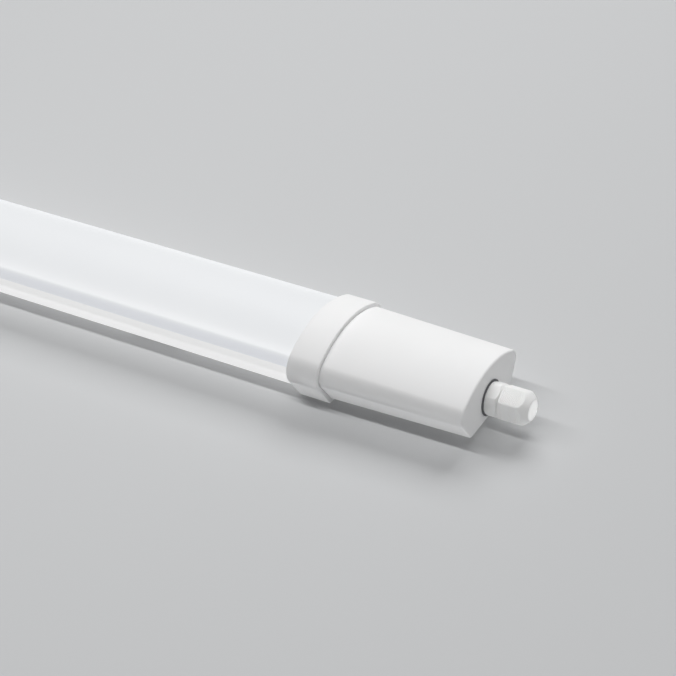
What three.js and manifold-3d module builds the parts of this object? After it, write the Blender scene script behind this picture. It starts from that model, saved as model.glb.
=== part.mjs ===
// Sealed LED batten luminaire, 600 mm size: an opal diffuser on a white housing, with a
// collar and a tapered, pull-off end cap at each end, and a screwed cable gland in each cap.
// Frame: millimetres, +X along the tube, +Z out of the diffuser, z = 0 on the mounting plane.
import * as THREE from 'three';
import { mergeVertices } from 'three/addons/utils/BufferGeometryUtils.js';
import Module from 'manifold-3d';

const wasm = await Module();
wasm.setup();

// Cross-section of the end cap at its root: flat back, slanted flat sides up to a crease,
// round shoulders from there, and a shallow dome. The feet, where sides meet back, are rounded.
const BACK_Z = 2.45;
const SECTION_HEIGHT = 32.6;
const SHOULDER_RADIUS = 9.1;
const SHOULDER_Y = 21.9;
const SHOULDER_Z = BACK_Z + 17.6;
const BACK_HALF_WIDTH = 21.4;
const CREASE_ANGLE = THREE.MathUtils.degToRad(-22);
const FOOT_RADIUS = 1.3;
const SHOULDER_STEPS = 5;
const DOME_STEPS = 8;
const FOOT_STEPS = 2;

// Outline offsets from that section, outward positive. The collar also sits a little lower.
const COLLAR_OFFSET = 2.25;
const COLLAR_DROP = 0.2;
const COLLAR_BORE_OFFSET = -0.4;
const TUBE_OFFSET = -0.75;
const CAP_TAPER = 1.75;
const CAP_CAVITY_OFFSET = -3.2;
const SPIGOT_OFFSET = -1;
const SPIGOT_BORE_OFFSET = -3.2;

// Stations along the tube, for the +X end.
const END_FACE_X = 300;
const CAP_LENGTH = 79;
const STEP_X = END_FACE_X - CAP_LENGTH;
const COLLAR_LENGTH = 18;
const TUBE_INSERTION = 9;
const COLLAR_EDGE_RADIUS = 0.7;
const TUBE_END_X = STEP_X - TUBE_INSERTION;
const SPIGOT_LENGTH = 8;
const GASKET_GROOVE = [5.6, 3];
const GASKET_GROOVE_DEPTH = 1;
const CAP_END_WALL = 3;

// Walls and fits.
const CLEARANCE = 0.1;
const OVERCUT = 1;
const WIDE = 60;
const COVER_WALL = 1.8;
const HOUSING_WALL = 1.65;
const SEAM_Z = BACK_Z + 19.6;
const SKIRT_BOTTOM_Z = SEAM_Z - 2;
const SKIRT_TOP_Z = SEAM_Z + 2;
const SKIRT_WALL = 1.15;
const SKIRT_OVERLAP = 0.05;

// Slot for the mounting clips, along the back of the housing.
const SLOT_MOUTH_HALF = 8;
const SLOT_HALF = 11.6;
const SLOT_LIP = 1.5;
const SLOT_HEIGHT = 2.5;
const SLOT_WALL = 1.5;

// Gear tray and what it carries.
const TRAY_HALF_WIDTH = 26.4;
const TRAY_THICKNESS = 1.2;
const TRAY_Z = BACK_Z + 16.6;
const TRAY_TOP = TRAY_Z + TRAY_THICKNESS;
const LEDGE_THICKNESS = 1;
const LEDGE_INNER_HALF = 24;
const TONGUE_HALF_WIDTH = 20;
const TONGUE_LENGTH = 36;
const LEAD_SLOT_HALF = [4, 13];
const BOARD_HALF_WIDTH = 10;
const BOARD_HALF_LENGTH = 196;
const BOARD_THICKNESS = 1.6;
const LED_COUNT = 28;
const LED_SIZE = [2.8, 3.5, 0.7];
const DRIVER_X = [8, 182];
const DRIVER_HALF_WIDTH = 16;
const DRIVER_HEIGHT = 8.6;
const DRIVER_WALL = 1.2;
const DRIVER_EAR = 10;
const DRIVER_EAR_HALF = 5;
const DRIVER_LID = 1;
const DRIVER_BOARD_THICKNESS = 1;
const DRIVER_BOARD_GAP = 0.3;
const DRIVER_BOARD_MARGIN = 0.5;
const DRIVER_BOARD_END_GAP = 2;
const COMPONENT_HEIGHT = 4;
const COMPONENT_SINK = 0.2;
// Place along the driver as a fraction of its length, then length and width.
const COMPONENTS = [[0.2, 16, 14], [0.45, 22, 20], [0.65, 12, 10], [0.85, 20, 12]];
const SCREW_RADIUS = 1.5;
const SCREW_HOLE_RADIUS = 1.9;
const SCREW_HEAD_RADIUS = 2.8;
const SCREW_HEAD_HEIGHT = 1.7;
const SCREW_SHANK_END_GAP = 2;
const TERMINAL_SIZE = [20, 27, 9];
const TERMINAL_X = 234;
const POLE_PITCH = 8;
const POLES = [-POLE_PITCH, 0, POLE_PITCH];
const PORT_HALF = 1.6;
const PORT_FLOOR = 2;
const PORT_HEIGHT = 3.2;
const PORT_INNER_X = 2;
const SCREW_WELL_FLOOR = 6;
const SCREW_WELL_GAP = 0.3;
const DRIVING_SLOT_HALF = 0.4;
const DRIVING_SLOT_DEPTH = 0.8;
const EARTH_PLACE = [TERMINAL_X - 20, 16];
const EARTH_TAG_RADIUS = 3.4;
const EARTH_TAG_SHEET = 0.8;
const EARTH_TAG_TAIL = 8;
const EARTH_TAG_TAIL_HALF = 1.3;
const LEAD_RADIUS = 0.9;
const LEAD_SIDES = 8;
const LEAD_STEPS = 12;
const LEAD_HOLE_X = 203;
const OUTPUT_HOLE_X = -12;
const OUTPUT_HOLE_Y = 15;
const OUTPUT_HOLE_RADIUS = 2.6;

// Cable gland on the cap's end face; lengths run outward from that face.
const GLAND_Z = BACK_Z + 12.6;
const ROUND_STEPS = 20;
const SCREW_STEPS = 12;
const WASHER_RADIUS = 9.5;
const WASHER_THICKNESS = 0.6;
const THREAD_RADIUS = 6;
const THREAD_INNER_END = -9;
const GLAND_HOLE_RADIUS = 6.2;
const LOCKNUT_FLATS = 15;
const LOCKNUT_LENGTH = 4;
const HEX_TURN = THREE.MathUtils.degToRad(26.5);
const BODY_FLATS = 16.6;
const BODY_END = 7.3;
const CLAW_RADIUS = 6.6;
const CLAW_END = 16;
const GLAND_BORE = 4.4;
const SEAL_BORE = 2.6;
const SEAL_END_GAP = 1.4;
const NUT_FLATS = 16.7;
const NUT_START = 7.5;
const NUT_SHOULDER = 19.5;
const NUT_END = 23.3;
const NUT_NOSE_RADIUS = 5.7;
const NUT_BORE = 6.9;
const NUT_MOUTH = 5.2;
const NUT_THROAT = [1, 3.4];
// The nose is turned to this line: radius, then distance from the nut's outer end.
const NUT_NOSE = [
  [NUT_FLATS, NUT_END - NUT_SHOULDER + 4],
  [NUT_FLATS / 2 + 1.1, NUT_END - NUT_SHOULDER + 0.4],
  [NUT_FLATS / 2 - 0.2, NUT_END - NUT_SHOULDER - 1.4],
  [NUT_NOSE_RADIUS + 0.9, 0.9],
  [NUT_NOSE_RADIUS, 0],
];
const PLUG_HEAD_RADIUS = 5;
const PLUG_HEAD_THICKNESS = 1.6;
const PLUG_PIN_SETBACK = 2;

// Mounting clips.
const CLIP_X = 110;
const CLIP_LENGTH = 30;
const CLIP_SHEET = 1.2;
const CLIP_HALF_WIDTH = 16;
const CLIP_WEB_HALF = 7.1;
const CLIP_FOOT_HALF = 10.9;
const CLIP_FOOT_GAP = 0.5;
const CLIP_FOOT_Z = BACK_Z - TUBE_OFFSET + SLOT_LIP + CLIP_FOOT_GAP;
const CLIP_HOLE_Y = 11.8;
const CLIP_HOLE_RADIUS = 2.2;

// The dome's radius makes it run tangent into both shoulders.
const shoulderDrop = SHOULDER_Z - BACK_Z - SECTION_HEIGHT;
const DOME_RADIUS = (SHOULDER_RADIUS ** 2 - SHOULDER_Y ** 2 - shoulderDrop ** 2)
  / (2 * (shoulderDrop + SHOULDER_RADIUS));
const DOME_Z = BACK_Z + SECTION_HEIGHT - DOME_RADIUS;
const SIDE_ANGLE = Math.atan2(
  SHOULDER_Z + SHOULDER_RADIUS * Math.sin(CREASE_ANGLE) - BACK_Z,
  SHOULDER_Y + SHOULDER_RADIUS * Math.cos(CREASE_ANGLE) - BACK_HALF_WIDTH,
);
const DOME_START = Math.atan2(SHOULDER_Z - DOME_Z, SHOULDER_Y);

const FINISHES = {
  opal_diffuser: { color: 0xeeeff1, roughness: 0.35, metalness: 0 },
  white_housing: { color: 0xe9e9e9, roughness: 0.4, metalness: 0 },
  white_cap: { color: 0xf4f4f4, roughness: 0.45, metalness: 0 },
  white_nylon: { color: 0xeeeeec, roughness: 0.5, metalness: 0 },
  black_rubber: { color: 0x1d1d1e, roughness: 0.8, metalness: 0 },
  grey_silicone: { color: 0x9a9c9e, roughness: 0.7, metalness: 0 },
  aluminium: { color: 0xc9cbce, roughness: 0.35, metalness: 1 },
  board_white: { color: 0xf2f2ee, roughness: 0.5, metalness: 0 },
  board_green: { color: 0x1f6b43, roughness: 0.5, metalness: 0 },
  zinc_steel: { color: 0xb9bcc0, roughness: 0.35, metalness: 1 },
  stainless: { color: 0xc4c6c8, roughness: 0.3, metalness: 1 },
  brown_lead: { color: 0x6b3d22, roughness: 0.5, metalness: 0 },
  blue_lead: { color: 0x2a5fae, roughness: 0.5, metalness: 0 },
  green_lead: { color: 0x3b8f3a, roughness: 0.5, metalness: 0 },
  red_lead: { color: 0xb3261e, roughness: 0.5, metalness: 0 },
  black_lead: { color: 0x222222, roughness: 0.5, metalness: 0 },
};

// A closed geometry as a solid with its faces pointing out.
function solid(geometry) {
  geometry.deleteAttribute('normal');
  geometry.deleteAttribute('uv');
  const merged = mergeVertices(geometry, 1e-4);
  const positions = merged.attributes.position;
  const index = Array.from(merged.index.array);
  const corners = [new THREE.Vector3(), new THREE.Vector3(), new THREE.Vector3()];
  let volume = 0;
  const triangles = [];
  for (let i = 0; i < index.length; i += 3) {
    const [a, b, c] = index.slice(i, i + 3);
    if (a === b || b === c || c === a) continue;
    triangles.push(a, b, c);
    [a, b, c].forEach((vertex, k) => corners[k].fromBufferAttribute(positions, vertex));
    volume += corners[0].dot(corners[1].clone().cross(corners[2]));
  }
  if (volume < 0) triangles.reverse();
  return new wasm.Manifold(new wasm.Mesh({
    numProp: 3,
    vertProperties: Float32Array.from(positions.array),
    triVerts: Uint32Array.from(triangles),
  }));
}

function part(name, finish, shape) {
  const data = shape.getMesh();
  const geometry = new THREE.BufferGeometry();
  geometry.setAttribute('position', new THREE.BufferAttribute(data.vertProperties, 3));
  geometry.setIndex(new THREE.BufferAttribute(data.triVerts, 1));
  geometry.computeVertexNormals();
  const mesh = new THREE.Mesh(geometry, new THREE.MeshStandardMaterial(FINISHES[finish]));
  mesh.name = name;
  return mesh;
}

function arcPoints(centreY, centreZ, radius, from, to, steps) {
  return Array.from({ length: steps + 1 }, (_, i) => {
    const angle = from + (to - from) * i / steps;
    return new THREE.Vector2(centreY + radius * Math.cos(angle), centreZ + radius * Math.sin(angle));
  });
}

// The cross-section, moved outward by an offset, as a shape in the Y-Z plane.
function section(offset) {
  const shoulder = SHOULDER_RADIUS + offset;
  const back = BACK_Z - offset;
  const footY = BACK_HALF_WIDTH + offset * Math.tan(SIDE_ANGLE / 2);
  const right = arcPoints(SHOULDER_Y, SHOULDER_Z, shoulder, CREASE_ANGLE, DOME_START, SHOULDER_STEPS);
  const dome = arcPoints(0, DOME_Z, DOME_RADIUS + offset, DOME_START, Math.PI - DOME_START, DOME_STEPS);
  const footCentre = footY - FOOT_RADIUS * Math.tan(SIDE_ANGLE / 2);
  const foot = arcPoints(footCentre, back + FOOT_RADIUS, FOOT_RADIUS, -Math.PI / 2, SIDE_ANGLE - Math.PI / 2,
    FOOT_STEPS);
  const half = [...foot, ...right];
  const otherHalf = half.map((point) => new THREE.Vector2(-point.x, point.y)).reverse();
  return new THREE.Shape([...half, ...dome.slice(1, -1), ...otherHalf]);
}

// Extrudes a Y-Z shape along X, from x0 to x1.
function alongX(shape, x0, x1, bevel = {}) {
  const depth = x1 - x0 - 2 * (bevel.bevelThickness ?? 0);
  const bevelled = bevel.bevelThickness !== undefined;
  const geometry = new THREE.ExtrudeGeometry(shape, { depth, bevelEnabled: bevelled, ...bevel });
  const yzx = new THREE.Matrix4().makeBasis(
    new THREE.Vector3(0, 1, 0),
    new THREE.Vector3(0, 0, 1),
    new THREE.Vector3(1, 0, 0),
  );
  geometry.applyMatrix4(yzx);
  geometry.translate(x0 + (bevel.bevelThickness ?? 0), 0, 0);
  return solid(geometry);
}

function box(x0, x1, y0, y1, z0, z1) {
  const geometry = new THREE.BoxGeometry(x1 - x0, y1 - y0, z1 - z0);
  geometry.translate((x0 + x1) / 2, (y0 + y1) / 2, (z0 + z1) / 2);
  return solid(geometry);
}

// A profile of [radius, x] points turned about the X axis.
function turned(profile, steps = ROUND_STEPS) {
  const points = profile.map(([radius, x]) => new THREE.Vector2(radius, x));
  const geometry = new THREE.LatheGeometry(points, steps);
  geometry.rotateZ(-Math.PI / 2);
  return solid(geometry);
}

function tube(outer, inner, x0, x1) {
  return turned([[inner, x0], [outer, x0], [outer, x1], [inner, x1], [inner, x0]]);
}

// A hexagonal bar along X; its first corner stands at an angle up from +Y.
function hexagon(flats, x0, x1, firstCorner = HEX_TURN) {
  const corner = flats / 2 / Math.cos(Math.PI / 6);
  const lastCorner = firstCorner + Math.PI * 5 / 3;
  return alongX(new THREE.Shape(arcPoints(0, 0, corner, firstCorner, lastCorner, 5)), x0, x1);
}

function verticalPin(radius, x, y, z0, z1) {
  const geometry = new THREE.CylinderGeometry(radius, radius, z1 - z0, SCREW_STEPS);
  geometry.rotateX(Math.PI / 2);
  geometry.translate(x, y, (z0 + z1) / 2);
  return solid(geometry);
}

function shell(outerOffset, innerOffset, x0, x1) {
  return alongX(section(outerOffset), x0, x1)
    .subtract(alongX(section(innerOffset), x0 - OVERCUT, x1 + OVERCUT));
}

function diffuserCover() {
  const wall = shell(TUBE_OFFSET, TUBE_OFFSET - COVER_WALL, -TUBE_END_X, TUBE_END_X);
  const skirtOuter = TUBE_OFFSET - COVER_WALL + SKIRT_OVERLAP;
  const skirt = shell(skirtOuter, skirtOuter - SKIRT_WALL, -TUBE_END_X, TUBE_END_X);
  return wall.intersect(box(-END_FACE_X, END_FACE_X, -WIDE, WIDE, SEAM_Z, WIDE))
    .add(skirt.intersect(box(-END_FACE_X, END_FACE_X, -WIDE, WIDE, SKIRT_BOTTOM_Z, SKIRT_TOP_Z)));
}

function housing() {
  const back = BACK_Z - TUBE_OFFSET;
  const ceiling = back + SLOT_LIP + SLOT_HEIGHT;
  const ledgeZ = TRAY_Z - CLEARANCE - LEDGE_THICKNESS;
  const ledges = alongX(section(TUBE_OFFSET - HOUSING_WALL / 2), -TUBE_END_X, TUBE_END_X)
    .intersect(box(-END_FACE_X, END_FACE_X, -WIDE, WIDE, ledgeZ, ledgeZ + LEDGE_THICKNESS))
    .subtract(box(-END_FACE_X, END_FACE_X, -LEDGE_INNER_HALF, LEDGE_INNER_HALF, 0, WIDE));
  const channelHalf = SLOT_HALF + SLOT_WALL;
  return shell(TUBE_OFFSET, TUBE_OFFSET - HOUSING_WALL, -TUBE_END_X, TUBE_END_X)
    .intersect(box(-END_FACE_X, END_FACE_X, -WIDE, WIDE, 0, SEAM_Z - CLEARANCE))
    .add(box(-TUBE_END_X, TUBE_END_X, -channelHalf, channelHalf, back, ceiling + SLOT_WALL))
    .add(ledges)
    .subtract(box(-END_FACE_X, END_FACE_X, -SLOT_HALF, SLOT_HALF, back + SLOT_LIP, ceiling))
    .subtract(box(-END_FACE_X, END_FACE_X, -SLOT_MOUTH_HALF, SLOT_MOUTH_HALF, back - OVERCUT, ceiling));
}

function gearTray() {
  const end = TUBE_END_X + TONGUE_LENGTH;
  const [slotX, slotY] = LEAD_SLOT_HALF;
  const leadSlot = box(LEAD_HOLE_X - slotX, LEAD_HOLE_X + slotX, -slotY, slotY, 0, WIDE);
  let tray = box(-TUBE_END_X, TUBE_END_X, -TRAY_HALF_WIDTH, TRAY_HALF_WIDTH, TRAY_Z, TRAY_TOP)
    .add(box(-end, end, -TONGUE_HALF_WIDTH, TONGUE_HALF_WIDTH, TRAY_Z, TRAY_TOP))
    .subtract(leadSlot);
  for (const [x, y] of [...driverScrewPlaces(), EARTH_PLACE]) {
    tray = tray.subtract(verticalPin(SCREW_HOLE_RADIUS, x, y, 0, WIDE));
  }
  for (const y of [-OUTPUT_HOLE_Y, OUTPUT_HOLE_Y]) {
    tray = tray.subtract(verticalPin(OUTPUT_HOLE_RADIUS, OUTPUT_HOLE_X, y, 0, WIDE));
  }
  return tray;
}

function driverScrewPlaces() {
  return DRIVER_X.map((x, i) => [x + (i === 0 ? -1 : 1) * DRIVER_EAR / 2, 0]);
}

function ledBoard() {
  const base = TRAY_TOP + CLEARANCE;
  const top = base + BOARD_THICKNESS;
  const [length, width, height] = LED_SIZE;
  const pitch = 2 * BOARD_HALF_LENGTH / LED_COUNT;
  let board = box(-BOARD_HALF_LENGTH, BOARD_HALF_LENGTH, -BOARD_HALF_WIDTH, BOARD_HALF_WIDTH, base, top);
  for (let i = 0; i < LED_COUNT; i += 1) {
    const x = -BOARD_HALF_LENGTH + pitch * (i + 0.5);
    board = board.add(box(x - length / 2, x + length / 2, -width / 2, width / 2, top, top + height));
  }
  return board;
}

const DRIVER_TOP = TRAY_Z - CLEARANCE;
const DRIVER_BOTTOM = DRIVER_TOP - DRIVER_HEIGHT;
const DRIVER_RIM = DRIVER_TOP - DRIVER_LID - CLEARANCE;

function driverBase() {
  const [x0, x1] = DRIVER_X;
  const inset = DRIVER_WALL;
  const ear = [-DRIVER_EAR_HALF, DRIVER_EAR_HALF, DRIVER_RIM - inset, DRIVER_RIM];
  let base = box(x0, x1, -DRIVER_HALF_WIDTH, DRIVER_HALF_WIDTH, DRIVER_BOTTOM, DRIVER_RIM)
    .subtract(box(x0 + inset, x1 - inset, -DRIVER_HALF_WIDTH + inset, DRIVER_HALF_WIDTH - inset,
      DRIVER_BOTTOM + inset, WIDE))
    .add(box(x0 - DRIVER_EAR, x0, ...ear))
    .add(box(x1, x1 + DRIVER_EAR, ...ear));
  for (const [x, y] of driverScrewPlaces()) {
    base = base.subtract(verticalPin(SCREW_HOLE_RADIUS, x, y, 0, WIDE));
  }
  return base;
}

function driverLid() {
  const [x0, x1] = DRIVER_X;
  return box(x0, x1, -DRIVER_HALF_WIDTH, DRIVER_HALF_WIDTH, DRIVER_TOP - DRIVER_LID, DRIVER_TOP);
}

// Circuit board with its inductor, transformer and capacitors standing on it.
function driverBoard() {
  const [x0, x1] = DRIVER_X;
  const base = DRIVER_BOTTOM + DRIVER_WALL + DRIVER_BOARD_GAP;
  const top = base + DRIVER_BOARD_THICKNESS;
  const half = DRIVER_HALF_WIDTH - DRIVER_WALL - DRIVER_BOARD_MARGIN;
  let board = box(x0 + DRIVER_BOARD_END_GAP, x1 - DRIVER_BOARD_END_GAP, -half, half, base, top);
  for (const [place, length, width] of COMPONENTS) {
    const centre = x0 + (x1 - x0) * place;
    board = board.add(box(centre - length / 2, centre + length / 2, -width / 2, width / 2,
      top - COMPONENT_SINK, top + COMPONENT_HEIGHT));
  }
  return board;
}

// Screw standing along Z: its head under or over the sheet, its shank through it.
function screw(x, y, headZ, shankZ, direction) {
  const headFar = headZ - direction * SCREW_HEAD_HEIGHT;
  const low = Math.min(headZ, headFar);
  const high = Math.max(headZ, headFar);
  const head = verticalPin(SCREW_HEAD_RADIUS, x, y, low, high);
  const shank = verticalPin(SCREW_RADIUS, x, y, Math.min(headZ - direction, shankZ),
    Math.max(headZ - direction, shankZ));
  return head.add(shank);
}

function terminalBlock() {
  const [length, width, height] = TERMINAL_SIZE;
  const base = TRAY_TOP + CLEARANCE;
  const wellRadius = SCREW_HEAD_RADIUS + SCREW_WELL_GAP;
  let block = box(TERMINAL_X - length / 2, TERMINAL_X + length / 2, -width / 2, width / 2,
    base, base + height);
  for (const y of POLES) {
    const port = [y - PORT_HALF, y + PORT_HALF, base + PORT_FLOOR, base + PORT_FLOOR + PORT_HEIGHT];
    block = block
      .subtract(box(TERMINAL_X - length, TERMINAL_X - PORT_INNER_X, ...port))
      .subtract(box(TERMINAL_X + PORT_INNER_X, TERMINAL_X + length, ...port))
      .subtract(verticalPin(wellRadius, TERMINAL_X, y, base + SCREW_WELL_FLOOR, WIDE));
  }
  return block;
}

function terminalScrew(y) {
  const base = TRAY_TOP + CLEARANCE;
  const headBottom = base + SCREW_WELL_FLOOR + CLEARANCE;
  const headTop = base + TERMINAL_SIZE[2];
  const reach = 2 * SCREW_HEAD_RADIUS;
  return verticalPin(SCREW_HEAD_RADIUS, TERMINAL_X, y, headBottom, headTop)
    .subtract(box(TERMINAL_X - reach, TERMINAL_X + reach, y - DRIVING_SLOT_HALF, y + DRIVING_SLOT_HALF,
      headTop - DRIVING_SLOT_DEPTH, WIDE));
}

function earthTag() {
  const [x, y] = EARTH_PLACE;
  const base = TRAY_TOP + CLEARANCE;
  const ring = verticalPin(EARTH_TAG_RADIUS, x, y, base, base + EARTH_TAG_SHEET);
  const tail = box(x, x + EARTH_TAG_TAIL, y - EARTH_TAG_TAIL_HALF, y + EARTH_TAG_TAIL_HALF,
    base, base + EARTH_TAG_SHEET);
  return ring.add(tail).subtract(verticalPin(SCREW_HOLE_RADIUS, x, y, 0, WIDE));
}

// A round insulated lead along a smooth route.
function lead(route) {
  const curve = new THREE.CatmullRomCurve3(route.map((point) => new THREE.Vector3(...point)));
  const round = new THREE.Shape(arcPoints(0, 0, LEAD_RADIUS, 0,
    Math.PI * 2 * (LEAD_SIDES - 1) / LEAD_SIDES, LEAD_SIDES - 1));
  const along = { steps: LEAD_STEPS, extrudePath: curve, bevelEnabled: false };
  return solid(new THREE.ExtrudeGeometry(round, along));
}

// Where the leads run: in the terminal ports, over the tray and under it.
const PORT_Z = TRAY_TOP + CLEARANCE + PORT_FLOOR + PORT_HEIGHT / 2;
const PORT_X = TERMINAL_X - TERMINAL_SIZE[0] / 2 + 4;
const OVER_TRAY_Z = TRAY_TOP + 2.4;
const ON_TRAY_Z = TRAY_TOP + 1.2;
const UNDER_TRAY_Z = TRAY_Z - 5;
const LEAD_BEND = 5;
const LEAD_TAIL = 8;
const LEAD_END_GAP = 0.3;

// A mains lead from a pole of the terminal block, down through the tray, to the driver.
function mainsLead(y) {
  return lead([
    [PORT_X, y, PORT_Z],
    [PORT_X - LEAD_TAIL, y, PORT_Z],
    [LEAD_HOLE_X + LEAD_BEND, y, OVER_TRAY_Z],
    [LEAD_HOLE_X, y, TRAY_Z - TRAY_THICKNESS / 2],
    [LEAD_HOLE_X - LEAD_BEND, y, UNDER_TRAY_Z],
    [DRIVER_X[1] + LEAD_END_GAP, y, UNDER_TRAY_Z],
  ]);
}

// The earth lead loops back past the earth screw and ends against its tag.
function earthLead() {
  const [x, y] = EARTH_PLACE;
  const loop = EARTH_TAG_RADIUS + 2 * LEAD_RADIUS + 1.8;
  return lead([
    [PORT_X, POLE_PITCH, PORT_Z],
    [PORT_X - LEAD_TAIL, POLE_PITCH, PORT_Z],
    [x + 1, POLE_PITCH - 1, PORT_Z - LEAD_RADIUS / 2],
    [x - loop, (POLE_PITCH + y) / 2, PORT_Z - LEAD_RADIUS],
    [x - loop, y + 1, PORT_Z - LEAD_RADIUS],
    [x - EARTH_TAG_RADIUS - LEAD_RADIUS - LEAD_END_GAP, y, ON_TRAY_Z],
  ]);
}

// A lead from the driver's output up through the tray to a pad at the board's edge.
function outputLead(side) {
  const holeY = side * OUTPUT_HOLE_Y;
  const outletY = side * OUTPUT_HOLE_Y / 2;
  const padY = side * (BOARD_HALF_WIDTH + LEAD_RADIUS + LEAD_END_GAP);
  return lead([
    [DRIVER_X[0] - LEAD_END_GAP, outletY, UNDER_TRAY_Z],
    [DRIVER_X[0] - LEAD_TAIL, outletY, UNDER_TRAY_Z],
    [OUTPUT_HOLE_X + 1, holeY, TRAY_Z - 2],
    [OUTPUT_HOLE_X, holeY, TRAY_Z + TRAY_THICKNESS],
    [OUTPUT_HOLE_X - LEAD_BEND, holeY, OVER_TRAY_Z],
    [OUTPUT_HOLE_X - LEAD_BEND - LEAD_TAIL, padY, ON_TRAY_Z],
  ]);
}

function endCollar() {
  const round = COLLAR_EDGE_RADIUS;
  const bevel = { bevelThickness: round, bevelSize: round, bevelOffset: -round, bevelSegments: 2 };
  return alongX(section(COLLAR_OFFSET), STEP_X - COLLAR_LENGTH, STEP_X, bevel)
    .translate([0, 0, -COLLAR_DROP])
    .subtract(alongX(section(COLLAR_BORE_OFFSET), STEP_X - COLLAR_LENGTH - OVERCUT, STEP_X + OVERCUT));
}

// The barrel narrows evenly all round: one side of a double-tapered bar, hollowed from its root.
function endCap() {
  const root = STEP_X + CLEARANCE;
  const length = END_FACE_X - root;
  const taper = { bevelThickness: length, bevelSize: CAP_TAPER, bevelSegments: 1 };
  const waist = 2;
  const barrel = alongX(section(-CAP_TAPER), root - length - waist, END_FACE_X, taper)
    .intersect(box(root, END_FACE_X, -WIDE, WIDE, -WIDE, WIDE));
  const spigotEnd = root - SPIGOT_LENGTH;
  const [grooveStart, grooveEnd] = GASKET_GROOVE.map((setback) => STEP_X - setback);
  const spigot = alongX(section(SPIGOT_OFFSET), spigotEnd, root + OVERCUT)
    .subtract(shell(SPIGOT_OFFSET + OVERCUT, SPIGOT_OFFSET - GASKET_GROOVE_DEPTH, grooveStart, grooveEnd));
  return barrel.add(spigot)
    .subtract(alongX(section(CAP_CAVITY_OFFSET), spigotEnd - OVERCUT, END_FACE_X - CAP_END_WALL))
    .subtract(tube(GLAND_HOLE_RADIUS, 0, 0, END_FACE_X + OVERCUT).translate([0, 0, GLAND_Z]));
}

function capGasket() {
  const [start, end] = GASKET_GROOVE.map((setback) => STEP_X - setback);
  return shell(COLLAR_BORE_OFFSET - CLEARANCE, SPIGOT_OFFSET - GASKET_GROOVE_DEPTH + CLEARANCE,
    start + CLEARANCE, end - CLEARANCE);
}

function glandBody() {
  const thread = tube(THREAD_RADIUS, GLAND_BORE, THREAD_INNER_END, WASHER_THICKNESS + OVERCUT);
  const hex = hexagon(BODY_FLATS, WASHER_THICKNESS + CLEARANCE, BODY_END)
    .subtract(tube(GLAND_BORE, 0, -OVERCUT, NUT_END));
  const claws = tube(CLAW_RADIUS, GLAND_BORE, BODY_END - OVERCUT, CLAW_END);
  return thread.add(hex).add(claws);
}

function glandNut() {
  const noseLine = NUT_NOSE.map(([radius, setback]) => [radius, NUT_END - setback]);
  const nose = turned([[0, NUT_START], [NUT_FLATS, NUT_START], ...noseLine, [0, NUT_END]]);
  const [throatStart, throatEnd] = NUT_THROAT.map((distance) => CLAW_END + distance);
  const bore = turned([
    [0, NUT_START - OVERCUT],
    [NUT_BORE, NUT_START - OVERCUT],
    [NUT_BORE, throatStart],
    [NUT_MOUTH, throatEnd],
    [NUT_MOUTH, NUT_END + OVERCUT],
    [0, NUT_END + OVERCUT],
  ]);
  return hexagon(NUT_FLATS, NUT_START, NUT_END).intersect(nose).subtract(bore);
}

function glandPlug() {
  const pinEnd = BODY_END + PLUG_PIN_SETBACK;
  const headBack = NUT_END - PLUG_HEAD_THICKNESS;
  const pin = SEAL_BORE - CLEARANCE;
  return turned([[0, pinEnd], [pin, pinEnd], [pin, headBack], [PLUG_HEAD_RADIUS, headBack],
    [PLUG_HEAD_RADIUS, NUT_END], [0, NUT_END]]);
}

// Everything on one end, built on the +X end and turned half a turn about Z for the other.
function endAssembly(letter) {
  const end = new THREE.Group();
  end.add(
    part(`end_collar_${letter}`, 'white_cap', endCollar()),
    part(`end_cap_${letter}`, 'white_cap', endCap()),
    part(`cap_gasket_${letter}`, 'grey_silicone', capGasket()),
  );
  const gland = new THREE.Group();
  gland.position.set(END_FACE_X, 0, GLAND_Z);
  const sealEnd = CLAW_END + SEAL_END_GAP;
  gland.add(
    part(`gland_washer_${letter}`, 'black_rubber',
      tube(WASHER_RADIUS, GLAND_HOLE_RADIUS, CLEARANCE, WASHER_THICKNESS)),
    part(`gland_body_${letter}`, 'white_nylon', glandBody()),
    part(`gland_locknut_${letter}`, 'white_nylon',
      hexagon(LOCKNUT_FLATS, -CAP_END_WALL - LOCKNUT_LENGTH, -CAP_END_WALL - CLEARANCE, 0)
        .subtract(tube(GLAND_HOLE_RADIUS, 0, -END_FACE_X, END_FACE_X))),
    part(`gland_seal_${letter}`, 'black_rubber',
      tube(GLAND_BORE - CLEARANCE, SEAL_BORE, BODY_END + OVERCUT, sealEnd)),
    part(`gland_plug_${letter}`, 'white_nylon', glandPlug()),
    part(`gland_nut_${letter}`, 'white_nylon', glandNut()),
  );
  end.add(gland);
  return end;
}

// Bent strip: a flat plate, two webs up through the slot's mouth, and feet behind its lips.
function mountingClip(x) {
  const x0 = x - CLIP_LENGTH / 2;
  const x1 = x + CLIP_LENGTH / 2;
  const footTop = CLIP_FOOT_Z + CLIP_SHEET;
  let clip = box(x0, x1, -CLIP_HALF_WIDTH, CLIP_HALF_WIDTH, 0, CLIP_SHEET);
  for (const side of [-1, 1]) {
    const inner = side * (CLIP_WEB_HALF - CLIP_SHEET);
    const outer = side * CLIP_WEB_HALF;
    const foot = side * CLIP_FOOT_HALF;
    clip = clip
      .add(box(x0, x1, Math.min(inner, outer), Math.max(inner, outer), 0, footTop))
      .add(box(x0, x1, Math.min(inner, foot), Math.max(inner, foot), CLIP_FOOT_Z, footTop))
      .subtract(verticalPin(CLIP_HOLE_RADIUS, x, side * CLIP_HOLE_Y, -OVERCUT, CLIP_SHEET + OVERCUT));
  }
  return clip;
}

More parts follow.
